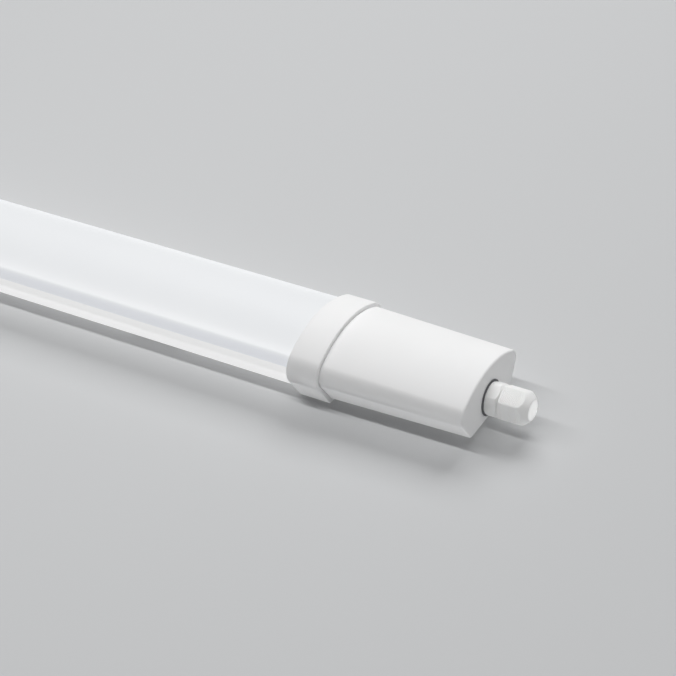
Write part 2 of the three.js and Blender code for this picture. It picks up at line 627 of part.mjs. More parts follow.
const EARTH_HEAD_Z = TRAY_TOP + EARTH_TAG_SHEET + 2 * CLEARANCE;
const luminaire = new THREE.Group();
luminaire.add(
  part('diffuser_cover', 'opal_diffuser', diffuserCover()),
  part('housing', 'white_housing', housing()),
  part('gear_tray', 'aluminium', gearTray()),
  part('led_board', 'board_white', ledBoard()),
  part('driver_base', 'white_housing', driverBase()),
  part('driver_lid', 'white_housing', driverLid()),
  part('driver_board', 'board_green', driverBoard()),
  part('terminal_block', 'white_nylon', terminalBlock()),
  part('earth_tag', 'zinc_steel', earthTag()),
  part('earth_screw', 'zinc_steel', screw(...EARTH_PLACE, EARTH_HEAD_Z, TRAY_Z - SCREW_SHANK_END_GAP, -1)),
  part('lead_live', 'brown_lead', mainsLead(-POLE_PITCH)),
  part('lead_neutral', 'blue_lead', mainsLead(0)),
  part('lead_earth', 'green_lead', earthLead()),
  part('lead_led_plus', 'red_lead', outputLead(1)),
  part('lead_led_minus', 'black_lead', outputLead(-1)),
);
['l', 'n', 'e'].forEach((pole, i) => {
  luminaire.add(part(`terminal_screw_${pole}`, 'zinc_steel', terminalScrew(POLES[i])));
});
driverScrewPlaces().forEach(([x, y], i) => {
  const name = `driver_screw_${['out', 'in'][i]}`;
  const headZ = DRIVER_RIM - DRIVER_WALL - CLEARANCE;
  luminaire.add(part(name, 'zinc_steel', screw(x, y, headZ, TRAY_TOP - CLEARANCE, 1)));
});
for (const [letter, side] of [['a', 1], ['b', -1]]) {
  const end = endAssembly(letter);
  end.rotation.z = side > 0 ? 0 : Math.PI;
  luminaire.add(end);
  luminaire.add(part(`mounting_clip_${letter}`, 'stainless', mountingClip(side * CLIP_X)));
}

export default luminaire;
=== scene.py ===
# %% [markdown]
# # A sealed LED batten light
# This lesson dresses a weatherproof LED batten: an opal diffuser and a white housing make the
# tube, a collar and a tapered cap close each end, and a cable gland is screwed into each cap.
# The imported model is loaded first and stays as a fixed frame. Every new piece is drawn in
# metres in that same frame, so a piece lands where its CAD solid already is.

# %% Load the frame
import math
import bpy
from mathutils import Euler, Matrix, Vector


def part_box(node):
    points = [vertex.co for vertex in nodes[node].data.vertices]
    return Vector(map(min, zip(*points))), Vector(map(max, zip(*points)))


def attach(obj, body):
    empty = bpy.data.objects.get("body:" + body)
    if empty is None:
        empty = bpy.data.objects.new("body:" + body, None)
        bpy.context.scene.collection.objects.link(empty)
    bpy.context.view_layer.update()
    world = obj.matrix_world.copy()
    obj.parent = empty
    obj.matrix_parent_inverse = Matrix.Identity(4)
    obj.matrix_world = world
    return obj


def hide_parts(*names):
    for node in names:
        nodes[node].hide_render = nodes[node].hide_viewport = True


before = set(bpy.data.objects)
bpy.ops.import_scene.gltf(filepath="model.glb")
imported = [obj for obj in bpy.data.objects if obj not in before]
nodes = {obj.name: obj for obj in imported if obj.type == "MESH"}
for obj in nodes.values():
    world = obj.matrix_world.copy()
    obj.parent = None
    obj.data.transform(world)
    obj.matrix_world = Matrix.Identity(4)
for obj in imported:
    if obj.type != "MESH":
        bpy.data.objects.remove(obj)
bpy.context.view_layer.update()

# %% [markdown]
# ## Camera, floor and light
# The camera is long and looks down at one end of the light, so the tube recedes with little
# taper. The floor is a plain pale sheet. White mouldings show their form only by how they shade,
# so each lamp has one job: a broad one above and behind lights the domes, a strip overhead draws
# the line of light along the shoulder of the diffuser, a lamp under the table top lifts the
# slanted sides, and a fill beyond the end lights the end face. One even sky would be simpler,
# but it would flatten everything. The world is left almost dark for the same reason.

# %% Camera
MM = 0.001
CAMERA_PLACE = (0.65436, -0.66112, 0.62641)
CAMERA_TURN = (52.6935, 4.1550, 30.4978)
CAMERA_LENS = 104.98

camera_data = bpy.data.cameras.new("camera")
camera_data.lens = CAMERA_LENS
camera = bpy.data.objects.new("camera", camera_data)
camera.location = CAMERA_PLACE
camera.rotation_euler = Euler([math.radians(angle) for angle in CAMERA_TURN])
bpy.context.collection.objects.link(camera)
bpy.context.scene.camera = camera
bpy.context.scene.view_settings.view_transform = "Standard"
print("camera is", round(camera.location.length, 3), "m from the middle of the tube")


# %% Nodes and colours
def linear(code):
    """An sRGB hex colour as the linear RGBA that shaders work in."""
    channels = [int(code[i:i + 2], 16) / 255 for i in (0, 2, 4)]
    curve = [c / 12.92 if c <= 0.04045 else ((c + 0.055) / 1.055) ** 2.4 for c in channels]
    return (*curve, 1.0)


def add(tree, kind, values=None, links=None, **settings):
    """Adds a node: settings are its properties, values its sockets, links what feeds them."""
    node = tree.nodes.new(kind)
    for key, value in settings.items():
        setattr(node, key, value)
    for key, value in (values or {}).items():
        node.inputs[key].default_value = value
    for key, source in (links or {}).items():
        tree.links.new(source, node.inputs[key])
    return node


# %% Lamps and floor
def lamp(name, place, target, size, power, colour="ffffff"):
    """A rectangular soft lamp; size is its length and width in metres."""
    data = bpy.data.lights.new(name, "AREA")
    data.shape = "RECTANGLE"
    data.size, data.size_y = size
    data.energy = power
    data.color = linear(colour)[:3]
    piece = bpy.data.objects.new(name, data)
    piece.location = place
    aim = Vector(target) - Vector(place)
    piece.rotation_euler = aim.to_track_quat("-Z", "Y").to_euler()
    bpy.context.collection.objects.link(piece)
    return piece


WORLD_STRENGTH = 0.03
softbox = lamp("back_softbox", (-0.10, 1.15, 1.35), (-0.10, 0, 0), (1.4, 0.9), 23.4)
# Its mirror image would lie as a second streak along the diffuser, so only its light is kept.
softbox.visible_glossy = False
lamp("overhead_strip", (-0.1, -0.31, 1.10), (-0.1, 0, 0), (1.8, 0.06), 8.9)
lamp("under_table", (0, -0.3, -0.6), (0, 0, 0), (1.4, 0.8), 3.3)
lamp("end_fill", (1.6, 0.1, 0.5), (0.2, 0, 0), (0.8, 0.8), 3.2)

world = bpy.data.worlds.new("studio")
bpy.context.scene.world = world
world.use_nodes = True
world.node_tree.nodes["Background"].inputs["Color"].default_value = linear("e9ecf2")
world.node_tree.nodes["Background"].inputs["Strength"].default_value = WORLD_STRENGTH

FLOOR_DEPTH = 0.0006
FLOOR_SIZE = 12
bpy.ops.object.select_all(action="DESELECT")
bpy.ops.mesh.primitive_plane_add(size=FLOOR_SIZE, location=(0, 0, -FLOOR_DEPTH))
floor = bpy.context.object
floor.name = "floor"
floor_paper = bpy.data.materials.new("floor_paper")
floor_paper.use_nodes = True
paper = floor_paper.node_tree.nodes["Principled BSDF"]
paper.inputs["Base Color"].default_value = linear("c6c7c8")
paper.inputs["Roughness"].default_value = 0.85
floor.data.materials.append(floor_paper)
# The lamp under the table top shines through the sheet as through a light table.
floor.visible_shadow = False

# %% [markdown]
# ## The shared section
# Tube, collar and cap are all the same D shape, moved in or out by an offset: a flat back, a
# slanted flat side up to a crease, a round shoulder and a shallow dome. Half of it is enough,
# because a mirror makes the other half. It could be one curve that is scaled, but scaling would
# change the wall, so each copy is drawn afresh: a vertex is spun about the dome's centre, spun
# on about the shoulder's centre, then extruded down the side and along the back.

# %% Section sizes in millimetres
BACK_Z = 2.45
SECTION_HEIGHT = 32.6
SHOULDER_RADIUS = 9.1
SHOULDER_Y = 21.9
SHOULDER_Z = BACK_Z + 17.6
BACK_HALF_WIDTH = 21.4
CREASE_ANGLE = math.radians(-22)
FOOT_RADIUS = 1.3
SEAM_Z = BACK_Z + 19.6

drop = SHOULDER_Z - BACK_Z - SECTION_HEIGHT
DOME_RADIUS = (SHOULDER_RADIUS**2 - SHOULDER_Y**2 - drop**2) / (2 * (drop + SHOULDER_RADIUS))
DOME_Z = BACK_Z + SECTION_HEIGHT - DOME_RADIUS
DOME_START = math.atan2(SHOULDER_Z - DOME_Z, SHOULDER_Y)
SIDE_ANGLE = math.atan2(
    SHOULDER_Z + SHOULDER_RADIUS * math.sin(CREASE_ANGLE) - BACK_Z,
    SHOULDER_Y + SHOULDER_RADIUS * math.cos(CREASE_ANGLE) - BACK_HALF_WIDTH,
)
DOME_SPREAD = math.pi / 2 - DOME_START
DOME_STEPS = 14
SHOULDER_STEPS = 22
FOOT_STEPS = 4
print("dome radius", round(DOME_RADIUS, 2), "mm, side slopes", round(math.degrees(SIDE_ANGLE), 1), "degrees")


# %% A pen that draws with mesh operators
pen = Vector((0, 0, 0))


def open_sheet(name):
    """Starts an empty mesh in edit mode, for the pen to draw in."""
    bpy.ops.object.select_all(action="DESELECT")
    bpy.ops.mesh.primitive_plane_add(size=MM)
    bpy.context.object.name = name
    bpy.ops.object.mode_set(mode="EDIT")
    bpy.ops.mesh.select_all(action="SELECT")
    bpy.ops.mesh.delete(type="VERT")


def pen_down(x, y, z):
    """Puts one vertex down: a tiny plane merged to its middle."""
    pen.xyz = (x, y, z)
    bpy.ops.mesh.select_all(action="DESELECT")
    bpy.ops.mesh.primitive_plane_add(size=MM, location=pen * MM)
    bpy.ops.mesh.merge(type="CENTER")


def pen_line(y, z, x=None):
    """Extrudes the selected vertex to a new place."""
    goal = Vector((pen.x if x is None else x, y, z))
    step = (goal - pen) * MM
    bpy.ops.mesh.extrude_vertices_move(TRANSFORM_OT_translate={"value": step})
    pen.xyz = goal


def pen_arc(centre_y, centre_z, angle, steps):
    """Spins the selected vertex about a line along X, from the top towards +Y."""
    centre = Vector((pen.x, centre_y, centre_z))
    bpy.ops.mesh.spin(steps=steps, angle=angle, center=centre * MM, axis=(1, 0, 0))
    pen.xyz = centre + Matrix.Rotation(-angle, 3, "X") @ (pen - centre)


def close_sheet():
    bpy.ops.object.mode_set(mode="OBJECT")
    return bpy.context.object


# %% Half sections and half circles
PROFILE_POINTS = 1 + DOME_STEPS + SHOULDER_STEPS + 1 + FOOT_STEPS + 1
SHOULDER_SWEEP = DOME_START - CREASE_ANGLE


def foot_y(offset):
    return BACK_HALF_WIDTH + offset * math.tan(SIDE_ANGLE / 2)


def foot_centre(offset):
    """Centre of the small round where the slanted side meets the back."""
    return foot_y(offset) - FOOT_RADIUS * math.tan(SIDE_ANGLE / 2), BACK_Z - offset + FOOT_RADIUS


def draw_foot(offset, drop=0.0):
    """Down the slanted side and round the foot, ending flat on the back."""
    y, z = foot_centre(offset)
    z -= drop
    pen_line(y + FOOT_RADIUS * math.sin(SIDE_ANGLE), z - FOOT_RADIUS * math.cos(SIDE_ANGLE))
    pen_arc(y, z, SIDE_ANGLE, FOOT_STEPS)


def draw_section(x, offset, drop=0.0):
    """The half section from the crown of the dome to the middle of the back."""
    pen_down(x, 0, DOME_Z + DOME_RADIUS + offset - drop)
    pen_arc(0, DOME_Z - drop, DOME_SPREAD, DOME_STEPS)
    pen_arc(SHOULDER_Y, SHOULDER_Z - drop, SHOULDER_SWEEP, SHOULDER_STEPS)
    draw_foot(offset, drop)
    pen_line(0, BACK_Z - offset - drop)


def draw_half_circle(x, radius, centre_z):
    """A half circle with as many points as a half section, so the two can be bridged."""
    pen_down(x, 0, centre_z + radius)
    pen_arc(0, centre_z, math.pi, PROFILE_POINTS - 1)


# %% Bridging, mirroring and shading
FLAT = 1e-6


def choose(piece, wanted):
    """Selects just the vertices that wanted(vertex) accepts, with their edges and faces."""
    mesh = piece.data
    keep = [bool(wanted(v)) for v in mesh.vertices]
    mesh.vertices.foreach_set("select", keep)
    mesh.edges.foreach_set("select", [keep[e.vertices[0]] and keep[e.vertices[1]] for e in mesh.edges])
    mesh.polygons.foreach_set("select", [all(keep[i] for i in p.vertices) for p in mesh.polygons])


def bridge(piece, rings, closed):
    """Joins each ring of PROFILE_POINTS vertices to the next by a band of faces."""
    pairs = [(i, i + 1) for i in range(rings - 1)] + ([(rings - 1, 0)] if closed else [])
    for pair in pairs:
        choose(piece, lambda v: v.index // PROFILE_POINTS in pair)
        bpy.ops.object.mode_set(mode="EDIT")
        bpy.ops.mesh.bridge_edge_loops()
        bpy.ops.object.mode_set(mode="OBJECT")


def delete_seam_faces(piece):
    """Removes faces that lie in the mirror plane, which would be walls inside the piece."""
    for face in piece.data.polygons:
        face.select = all(abs(piece.data.vertices[i].co.y) < FLAT for i in face.vertices)
    for edge in piece.data.edges:
        edge.select = False
    for vertex in piece.data.vertices:
        vertex.select = False
    if any(face.select for face in piece.data.polygons):
        bpy.ops.object.mode_set(mode="EDIT")
        bpy.ops.mesh.select_mode(type="FACE")
        bpy.ops.mesh.delete(type="ONLY_FACE")
        bpy.ops.mesh.select_mode(type="VERT")
        bpy.ops.object.mode_set(mode="OBJECT")


def apply_modifier(piece, kind, **settings):
    modifier = piece.modifiers.new(kind.lower(), kind)
    for key, value in settings.items():
        setattr(modifier, key, value)
    bpy.ops.object.select_all(action="DESELECT")
    piece.select_set(True)
    bpy.context.view_layer.objects.active = piece
    bpy.ops.object.modifier_apply(modifier=modifier.name)


def tidy(piece):
    """Merges doubles and turns every face outwards."""
    bpy.ops.object.select_all(action="DESELECT")
    piece.select_set(True)
    bpy.context.view_layer.objects.active = piece
    bpy.ops.object.mode_set(mode="EDIT")
    bpy.ops.mesh.select_all(action="SELECT")
    bpy.ops.mesh.remove_doubles(threshold=MM / 500)
    bpy.ops.mesh.normals_make_consistent(inside=False)
    bpy.ops.object.mode_set(mode="OBJECT")


CREASE_LIMIT = math.radians(8)
EDGE_LIMIT = math.radians(30)


def shade(piece, lengthwise_creases=False):
    """Smooth shading with sharp edges; long creases along the tube stay sharp from 8 degrees."""
    bpy.ops.object.select_all(action="DESELECT")
    piece.select_set(True)
    bpy.context.view_layer.objects.active = piece
    bpy.ops.object.shade_smooth_by_angle(angle=EDGE_LIMIT)
    if lengthwise_creases:
        bpy.ops.object.mode_set(mode="EDIT")
        bpy.ops.mesh.select_all(action="DESELECT")
        bpy.ops.mesh.select_mode(type="EDGE")
        bpy.ops.mesh.edges_select_sharp(sharpness=CREASE_LIMIT)
        bpy.ops.object.mode_set(mode="OBJECT")
        points = piece.data.vertices
        for edge in piece.data.edges:
            run = points[edge.vertices[1]].co - points[edge.vertices[0]].co
            if edge.select and abs(run.x) > 0.9 * run.length:
                edge.use_edge_sharp = True
        bpy.ops.object.mode_set(mode="EDIT")
        bpy.ops.mesh.select_mode(type="VERT")
        bpy.ops.object.mode_set(mode="OBJECT")


def mirror_half(piece):
    delete_seam_faces(piece)
    apply_modifier(piece, "MIRROR", use_axis=(False, True, False), merge_threshold=MM / 100)
    tidy(piece)


def far_copy(piece, name):
    """A copy turned half a turn about Z, for the other end, with its own mesh."""
    bpy.ops.object.select_all(action="DESELECT")
    piece.select_set(True)
    bpy.context.view_layer.objects.active = piece
    bpy.ops.object.duplicate(linked=False)
    copy = bpy.context.object
    copy.name = name
    copy.rotation_euler.z = math.pi
    bpy.ops.object.transform_apply(location=True, rotation=True, scale=True)
    return copy


# %% [markdown]
# ## Finishes
# Nearly all of this light is white plastic, so what tells its parts apart is how each was made.
# The diffuser is extruded opal polycarbonate: satin, faintly see-through, with die lines along
# it. The housing is the same resin loaded with white pigment. The caps and collars are
# injection moulded in a spark-eroded tool, which leaves a fine even grain. The gland is nylon.
#
# The light is shown switched on. A lamp inside the tube would be truer, but its light would have
# to find its way through a thick scattering wall, which is slow and noisy. A low glow on the
# shader itself gives the same flat, almost unshaded white. On the solid housing the glow is
# painted light that flattens its shade.

# %% Material builder
BUMP_STRENGTH = 0.6


def new_material(name, colour, roughness, **sockets):
    material = bpy.data.materials.new(name)
    material.use_nodes = True
    tree = material.node_tree
    shader = tree.nodes["Principled BSDF"]
    shader.inputs["Base Color"].default_value = linear(colour)
    shader.inputs["Roughness"].default_value = roughness
    for key, value in sockets.items():
        shader.inputs[key.replace("_", " ")].default_value = value
    return material, tree, shader


def position(tree, stretch=(1, 1, 1)):
    """Object coordinates, stretched along one axis for drawn or brushed surfaces."""
    coords = add(tree, "ShaderNodeTexCoord")
    return add(tree, "ShaderNodeMapping", {"Scale": stretch}, {"Vector": coords.outputs["Object"]})


def noise(tree, place, size_mm, detail=2.0, roughness=0.5):
    """Noise whose features are about size_mm across."""
    values = {"Scale": 1 / (size_mm * MM), "Detail": detail, "Roughness": roughness}
    return add(tree, "ShaderNodeTexNoise", values, {"Vector": place.outputs["Vector"]})


def spread(tree, source, low, high):
    """Maps a noise's middle range onto low to high."""
    values = {"From Min": 0.3, "From Max": 0.7, "To Min": low, "To Max": high}
    return add(tree, "ShaderNodeMapRange", values, {"Value": source})


def tint(tree, factor, first, second):
    """Blends two hex colours."""
    mix = add(tree, "ShaderNodeMix", {6: linear(first), 7: linear(second)}, {0: factor}, data_type="RGBA")
    return mix.outputs[2]


def emboss(tree, shader, height, depth_mm):
    values = {"Strength": BUMP_STRENGTH, "Distance": depth_mm * MM}
    bump = add(tree, "ShaderNodeBump", values, {"Height": height})
    tree.links.new(bump.outputs["Normal"], shader.inputs["Normal"])


# %% Plastics
POLYCARBONATE_IOR = 1.585
NYLON_IOR = 1.53
SILICONE_IOR = 1.41
DIFFUSER_GLOW = 0.53
HOUSING_PAINTED_GLOW = 0.62
PLUG_PAINTED_GLOW = 0.32
# Between these heights the diffuser's glow fades into a painted shade band on its lower shoulder.
SHADE_BAND_TOP_Z = BACK_Z + 24.9
SHADE_BAND_FULL_Z = BACK_Z + 22.8
# Real die lines are finer than a tenth of a millimetre; drawn this coarse they show at all.
ALONG_TUBE = (0.02, 1, 1)
DIE_LINE_MM = 2.2
DIE_LINE_DEPTH_MM = 0.006
HOUSING_LINE_MM = 1.6
HOUSING_LINE_DEPTH_MM = 0.01
COVER_HAZE_MM = 45
HOUSING_HAZE_MM = 60
FLOW_MM = 26


def opal_polycarbonate():
    """Extruded opal diffuser: satin and softly scattering, with painted shade on the lower shoulder, where
    its glow turns cooler and dimmer.
    """
    material, tree, shader = new_material(
        "opal_polycarbonate", "9e9fa1", 0.3, IOR=POLYCARBONATE_IOR,
        Specular_IOR_Level=0.38, Emission_Strength=DIFFUSER_GLOW,
    )
    lines = noise(tree, position(tree, ALONG_TUBE), DIE_LINE_MM, 3.0)
    haze = noise(tree, position(tree), COVER_HAZE_MM, 2.0)
    body = tint(tree, haze.outputs["Fac"], "9c9d9f", "a1a2a3")
    coords = add(tree, "ShaderNodeTexCoord")
    split = add(tree, "ShaderNodeSeparateXYZ", None, {"Vector": coords.outputs["Object"]})
    # Painted shade: down the lower shoulder the base colour turns a touch bluer and the glow cooler and
    # dimmer, where the surface turns from the lights.
    values = {"From Min": SHADE_BAND_TOP_Z * MM, "From Max": SHADE_BAND_FULL_Z * MM}
    height = {"Value": split.outputs["Z"]}
    shoulder_shade = add(tree, "ShaderNodeMapRange", values, height, interpolation_type="SMOOTHSTEP")
    blend = {0: shoulder_shade.outputs[0], 6: body}
    wall = add(tree, "ShaderNodeMix", {7: linear("a1a3a6")}, blend, data_type="RGBA")
    tree.links.new(wall.outputs[2], shader.inputs["Base Color"])
    glow = tint(tree, shoulder_shade.outputs[0], "f6f8fa", "f2f4f9")
    tree.links.new(glow, shader.inputs["Emission Color"])
    gloss = spread(tree, lines.outputs["Fac"], 0.31, 0.35)
    tree.links.new(gloss.outputs[0], shader.inputs["Roughness"])
    emboss(tree, shader, lines.outputs["Fac"], DIE_LINE_DEPTH_MM)
    return material


def white_polycarbonate():
    """Extruded housing: the same resin with white pigment, fine die lines along it, and a painted glow that
    flattens its shading.
    """
    material, tree, shader = new_material(
        "white_polycarbonate", "9e9e9e", 0.38, IOR=POLYCARBONATE_IOR,
        Specular_IOR_Level=0.25, Emission_Strength=HOUSING_PAINTED_GLOW,
    )
    # Painted light: this glow lights the solid housing evenly and flattens its shade.
    shader.inputs["Emission Color"].default_value = linear("fafafa")
    lines = noise(tree, position(tree, ALONG_TUBE), HOUSING_LINE_MM, 3.0)
    haze = noise(tree, position(tree), HOUSING_HAZE_MM, 2.0)
    tree.links.new(tint(tree, haze.outputs["Fac"], "9b9b9b", "a1a1a1"), shader.inputs["Base Color"])
    gloss = spread(tree, lines.outputs["Fac"], 0.34, 0.44)
    tree.links.new(gloss.outputs[0], shader.inputs["Roughness"])
    emboss(tree, shader, lines.outputs["Fac"], HOUSING_LINE_DEPTH_MM)
    return material


def moulded_white(name, dark, light, roughness, grain_mm, depth_mm, ior, scatter):
    """Injection-moulded white plastic with the even grain of a spark-eroded tool.
    The real grain is about 0.05 mm, so it is drawn coarser to show at all."""
    material, tree, shader = new_material(
        name, light, roughness, IOR=ior, Subsurface_Weight=scatter,
        Subsurface_Radius=(1.0, 0.95, 0.9), Subsurface_Scale=0.0012,
    )
    place = position(tree)
    grain = noise(tree, place, grain_mm, 3.0, 0.6)
    flow = noise(tree, place, FLOW_MM, 2.0)
    tree.links.new(tint(tree, flow.outputs["Fac"], dark, light), shader.inputs["Base Color"])
    gloss = spread(tree, flow.outputs["Fac"], roughness - 0.04, roughness + 0.04)
    tree.links.new(gloss.outputs[0], shader.inputs["Roughness"])
    emboss(tree, shader, grain.outputs["Fac"], depth_mm)
    return material


# OPAL reads as a satin, lit skin; HOUSING_WHITE as a solid wall with a painted glow that flattens
# its shade; CAP_WHITE as dull, unlit plastic that takes all the shading; NYLON as a little
# glossier and waxier than the caps.
OPAL = opal_polycarbonate()
HOUSING_WHITE = white_polycarbonate()
CAP_WHITE = moulded_white(
    "moulded_polycarbonate", "f0f0f0", "f4f4f4", 0.6, 0.5, 0.03, POLYCARBONATE_IOR, 0.05,
)
NYLON = moulded_white("natural_nylon", "f4f4f3", "f9f9f8", 0.42, 0.4, 0.015, NYLON_IOR, 0.1)
PLUG_SILICONE = moulded_white("natural_silicone", "f2f2f0", "f8f8f6", 0.35, 0.6, 0.01, SILICONE_IOR, 0.3)
# The plug is unpigmented silicone with a painted glow, so it shows as a bright disc.
plug_shader = PLUG_SILICONE.node_tree.nodes["Principled BSDF"]
plug_shader.inputs["Emission Color"].default_value = linear("fafafa")
plug_shader.inputs["Emission Strength"].default_value = PLUG_PAINTED_GLOW
print("plastics:", [m.name for m in (OPAL, HOUSING_WHITE, CAP_WHITE, NYLON, PLUG_SILICONE)])


# %% Rubbers, metals and leads
RUBBER_IOR = 1.5
PVC_IOR = 1.53
DUST_MM = 3
CLOUD_MM = 9
LEAD_FLOW_MM = 1.4


def rubber(name, dark, light, grain_mm):
    """Moulded rubber: dull, with a fine dusty mottle."""
    material, tree, shader = new_material(name, light, 0.75, IOR=RUBBER_IOR)
    place = position(tree)
    dust = noise(tree, place, DUST_MM, 4.0, 0.65)
    grain = noise(tree, place, grain_mm, 2.0)
    tree.links.new(tint(tree, dust.outputs["Fac"], dark, light), shader.inputs["Base Color"])
    emboss(tree, shader, grain.outputs["Fac"], 0.04)
    return material


def brushed_metal(name, dark, light, roughness, stretch, line_mm):
    """Rolled or brushed metal: fine lines one way that break up its gloss."""
    material, tree, shader = new_material(name, light, roughness, Metallic=1.0)
    lines = noise(tree, position(tree, stretch), line_mm, 4.0, 0.6)
    cloud = noise(tree, position(tree), CLOUD_MM, 3.0)
    tree.links.new(tint(tree, cloud.outputs["Fac"], dark, light), shader.inputs["Base Color"])
    gloss = spread(tree, lines.outputs["Fac"], roughness - 0.08, roughness + 0.1)
    tree.links.new(gloss.outputs[0], shader.inputs["Roughness"])
    emboss(tree, shader, lines.outputs["Fac"], 0.015)
    return material


def insulation(name, dark, light):
    """PVC insulation of a single lead: extruded, slightly glossy, faintly uneven."""
    material, tree, shader = new_material(name, light, 0.38, IOR=PVC_IOR)
    place = position(tree)
    flow = noise(tree, place, LEAD_FLOW_MM, 2.0)
    tree.links.new(tint(tree, flow.outputs["Fac"], dark, light), shader.inputs["Base Color"])
    emboss(tree, shader, flow.outputs["Fac"], 0.03)
    return material


# The rubbers are the only dull greys, so they draw the thin dark lines round the gland and spigot.
# The metals are seen only inside and on the clips: aluminium cool and plain, zinc bluer and
# mottled, stainless brighter along its length. The leads are the only colour in the light.
EPDM = rubber("dark_epdm_rubber", "606164", "6e6f72", 0.35)
SILICONE = rubber("grey_silicone", "8f9193", "a2a4a6", 0.5)
ALUMINIUM = brushed_metal("mill_finish_aluminium", "c3c5c8", "d0d2d4", 0.36, (0.03, 1, 1), 0.5)
ZINC = brushed_metal("zinc_plated_steel", "aeb2b8", "c2c5ca", 0.34, (1, 1, 0.2), 0.3)
STAINLESS = brushed_metal("brushed_stainless", "b9bbbe", "c6c8ca", 0.32, (1, 0.03, 1), 0.3)
LEADS = {
    "lead_live": insulation("brown_pvc", "5f3520", "6f4229"),
    "lead_neutral": insulation("blue_pvc", "2455a0", "2f66b8"),
    "lead_earth": insulation("green_pvc", "2f7d33", "3f9440"),
    "lead_led_plus": insulation("red_pvc", "a5221c", "bb2e24"),
    "lead_led_minus": insulation("black_pvc", "1b1b1c", "2a2a2b"),
}


MASK_IOR = 1.5


def solder_mask(name, ground, track, line_mm):
    """Circuit board: solder mask with the copper tracks showing under it as paler runs."""
    material, tree, shader = new_material(name, ground, 0.35, IOR=MASK_IOR)
    runs = add(
        tree, "ShaderNodeTexVoronoi", {"Scale": 1 / (line_mm * MM)},
        {"Vector": position(tree, (0.25, 1, 1)).outputs["Vector"]}, distance="CHEBYCHEV",
    )
    values = {"From Min": 0.28, "From Max": 0.34}
    step = add(tree, "ShaderNodeMapRange", values, {"Value": runs.outputs["Distance"]})
    tree.links.new(tint(tree, step.outputs[0], ground, track), shader.inputs["Base Color"])
    emboss(tree, shader, step.outputs[0], 0.03)
    return material


# The LED board's white mask throws light outward; the driver's green one is out of its way.
BOARD_WHITE = solder_mask("white_solder_mask", "f0f0ea", "e2e3dc", 4)
BOARD_GREEN = solder_mask("green_solder_mask", "1d6a41", "2a7d4f", 3)
print(len(bpy.data.materials), "materials")


# %% Where the CAD puts things
def box_mm(node):
    low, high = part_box(node)
    return [c / MM for c in low], [c / MM for c in high]


collar_low, collar_high = box_mm("end_collar_a")
cap_low, cap_high = box_mm("end_cap_a")
housing_low, housing_high = box_mm("housing")
washer_low, washer_high = box_mm("gland_washer_a")
COLLAR_X = (collar_low[0], collar_high[0])
STEP_X = collar_high[0]
END_X = cap_high[0]
SPIGOT_X = cap_low[0]
TUBE_X = housing_high[0]
GLAND_Z = (washer_low[2] + washer_high[2]) / 2
print("collar", [round(x, 1) for x in COLLAR_X], "end face", round(END_X, 1))
print("gland axis z", round(GLAND_Z, 2))

# %% [markdown]
# ## Diffuser and housing
# The tube is two extrusions that clip together: an opal cover whose skirts slip inside the
# walls of the white channel below. Each has one section from end to end, so the section is
# drawn once as a closed half outline, filled, and extruded the length of the tube.

# %% Extrude a half outline
TUBE_OFFSET = -0.75
COVER_WALL = 1.8
HOUSING_WALL = 1.65
SEAM_GAP = 0.1
SKIRT_Z = SEAM_Z - 2.0
SKIRT_WALL = 1.1


def shoulder_angle(z, offset):
    """The angle round the shoulder at which an offset section passes a height."""
    return math.asin((z - SHOULDER_Z) / (SHOULDER_RADIUS + offset))


def shoulder_point(angle, offset):
    reach = SHOULDER_RADIUS + offset
    return SHOULDER_Y + reach * math.cos(angle), SHOULDER_Z + reach * math.sin(angle)


def extrude_outline(half_length):
    """Closes the drawn outline, fills it and extrudes it along the tube."""
    bpy.ops.mesh.select_all(action="SELECT")
    bpy.ops.mesh.remove_doubles(threshold=MM / 500)
    bpy.ops.mesh.select_all(action="SELECT")
    bpy.ops.mesh.edge_face_add()
    run = 2 * half_length * MM
    bpy.ops.mesh.extrude_region_move(TRANSFORM_OT_translate={"value": (run, 0, 0)})
    return close_sheet()


# %% Diffuser cover
def diffuser_cover():
    inner = TUBE_OFFSET - COVER_WALL
    skirt_inner = inner - SKIRT_WALL
    seam = shoulder_angle(SEAM_Z, TUBE_OFFSET)
    ledge = shoulder_angle(SEAM_Z, inner)
    foot = shoulder_angle(SKIRT_Z, inner)
    open_sheet("diffuser")
    pen_down(-TUBE_X, 0, DOME_Z + DOME_RADIUS + TUBE_OFFSET)
    pen_arc(0, DOME_Z, DOME_SPREAD, DOME_STEPS)
    pen_arc(SHOULDER_Y, SHOULDER_Z, DOME_START - seam, SHOULDER_STEPS)
    pen_line(*shoulder_point(ledge, inner))
    pen_arc(SHOULDER_Y, SHOULDER_Z, ledge - foot, 6)
    pen_line(*shoulder_point(foot, skirt_inner))
    pen_arc(SHOULDER_Y, SHOULDER_Z, foot - DOME_START, SHOULDER_STEPS)
    pen_arc(0, DOME_Z, -DOME_SPREAD, DOME_STEPS)
    pen_line(0, DOME_Z + DOME_RADIUS + TUBE_OFFSET)
    return extrude_outline(TUBE_X)


diffuser = diffuser_cover()
mirror_half(diffuser)
shade(diffuser, lengthwise_creases=True)
diffuser.data.materials.append(OPAL)
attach(diffuser, "luminaire")
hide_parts("diffuser_cover")
print("diffuser", len(diffuser.data.polygons), "faces")

# %% Housing
SLOT_MOUTH = 8.0
SLOT_HALF = 11.6
SLOT_LIP = 1.5
SLOT_HEIGHT = 2.5
SLOT_WALL = 1.5


